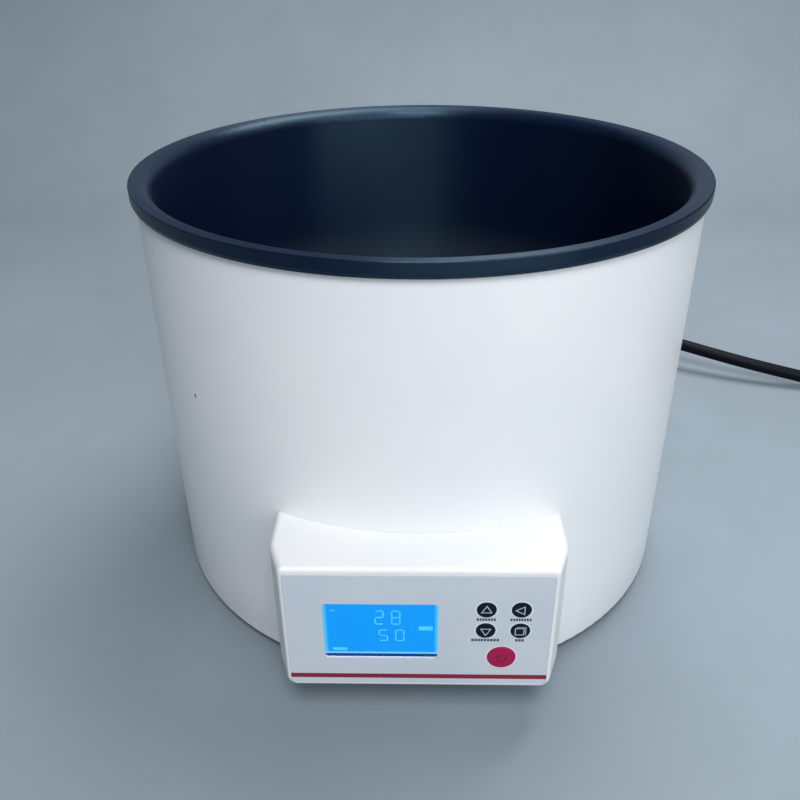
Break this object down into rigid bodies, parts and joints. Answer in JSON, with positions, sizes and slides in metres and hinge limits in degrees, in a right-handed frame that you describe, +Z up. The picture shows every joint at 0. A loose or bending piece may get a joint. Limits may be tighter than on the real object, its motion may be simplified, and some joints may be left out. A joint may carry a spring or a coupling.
{
  "type": "laboratory water bath",
  "caption": "Round bench-top laboratory water bath with a dark coated pan in a white drum and a control box with a display and keys on the front.",
  "frame": {"origin": "on the bench under the bath's axis", "axes": "+Z up along the bath's axis, -Y towards the control box, +X to the right seen from the front"},
  "size_m": [0.5669, 0.4081, 0.2133],
  "materials": {
    "white_paint": "satin white stoving paint on sheet steel",
    "pan_coating": "dark non-stick coating on drawn steel",
    "silicone": "grey silicone",
    "aluminium": "plain rolled aluminium",
    "element_steel": "heat-tinted stainless tube",
    "zinc_steel": "zinc-plated steel",
    "ceramic": "unglazed ceramic",
    "hard_board": "pale calcium-silicate insulation board, with the density of wood",
    "fibre": "needled glass-fibre felt",
    "brass": "plain brass",
    "black_rubber": "matte black rubber",
    "white_plastic": "white moulded plastic",
    "film": "printed pale grey-blue film",
    "clear_lens": "clear acrylic window",
    "display_blue": "backlit blue display",
    "dark_plastic": "black moulded plastic",
    "navy_key": "navy key cap",
    "crimson_key": "crimson key cap",
    "board_green": "green circuit board",
    "pale_plastic": "pale connector plastic",
    "blue_plastic": "blue relay case",
    "copper": "wound copper and core steel",
    "lead_insulation": "coloured lead insulation",
    "tie_fabric": "black hook-and-loop strap"
  },
  "bodies": {
    "bath": {"outer_shell": "white_paint", "bath_pan": "pan_coating", "rim_seal": "silicone", "spreader_plate": "aluminium", "heater_element": "element_steel", "heater_end_seals": "ceramic", "heater_tabs": "brass", "clamp_plate": "zinc_steel", "insulation_board": "hard_board", "insulation_jacket": "fibre", "tie_studs": "zinc_steel", "clamp_washers": "zinc_steel", "clamp_nuts": "zinc_steel", "base_nuts": "zinc_steel", "temperature_probe": "element_steel", "thermal_cutout": "ceramic", "cutout_screws": "zinc_steel", "base_plate": "zinc_steel", "base_screws": "zinc_steel", "rubber_feet": "black_rubber", "foot_screws": "zinc_steel", "foot_nuts": "zinc_steel", "control_housing": "white_plastic", "housing_screws": "zinc_steel", "front_overlay": "film", "display_lens": "clear_lens", "lcd_glass": "display_blue", "lcd_bezel": "dark_plastic", "key_switches": "dark_plastic", "control_board": "board_green", "board_screws": "zinc_steel", "control_connector": "pale_plastic", "control_cable": "lead_insulation", "power_board": "board_green", "board_pillars": "zinc_steel", "pillar_screws": "zinc_steel", "board_sockets": "pale_plastic", "transformer": "copper", "relay": "blue_plastic", "fuse_holder": "dark_plastic", "terminal_block": "pale_plastic", "earth_stud": "brass", "heater_leads": "lead_insulation", "probe_lead": "lead_insulation", "cutout_leads": "lead_insulation", "supply_leads": "lead_insulation", "gland_body": "dark_plastic", "gland_locknut": "dark_plastic", "bend_relief": "black_rubber", "power_cord": "black_rubber", "cord_coil": "black_rubber", "cord_tie": "tie_fabric", "plug_body": "black_rubber", "plug_pins": "brass"},
    "up_key_cap": {"up_key": "navy_key"},
    "left_key_cap": {"left_key": "navy_key"},
    "down_key_cap": {"down_key": "navy_key"},
    "menu_key_cap": {"menu_key": "navy_key"},
    "power_key_cap": {"power_key": "crimson_key"}
  },
  "joints": [
    {"name": "up_key_press", "type": "slide", "parent": "bath", "child": "up_key_cap", "axis": [0, 1, 0], "range_m": [0, 0.0004], "stiffness_N_per_m": 1500, "springref_m": -0.0002},
    {"name": "left_key_press", "type": "slide", "parent": "bath", "child": "left_key_cap", "axis": [0, 1, 0], "range_m": [0, 0.0004], "stiffness_N_per_m": 1500, "springref_m": -0.0002},
    {"name": "down_key_press", "type": "slide", "parent": "bath", "child": "down_key_cap", "axis": [0, 1, 0], "range_m": [0, 0.0004], "stiffness_N_per_m": 1500, "springref_m": -0.0002},
    {"name": "menu_key_press", "type": "slide", "parent": "bath", "child": "menu_key_cap", "axis": [0, 1, 0], "range_m": [0, 0.0004], "stiffness_N_per_m": 1500, "springref_m": -0.0002},
    {"name": "power_key_press", "type": "slide", "parent": "bath", "child": "power_key_cap", "axis": [0, 1, 0], "range_m": [0, 0.0004], "stiffness_N_per_m": 1500, "springref_m": -0.0002}
  ]
}
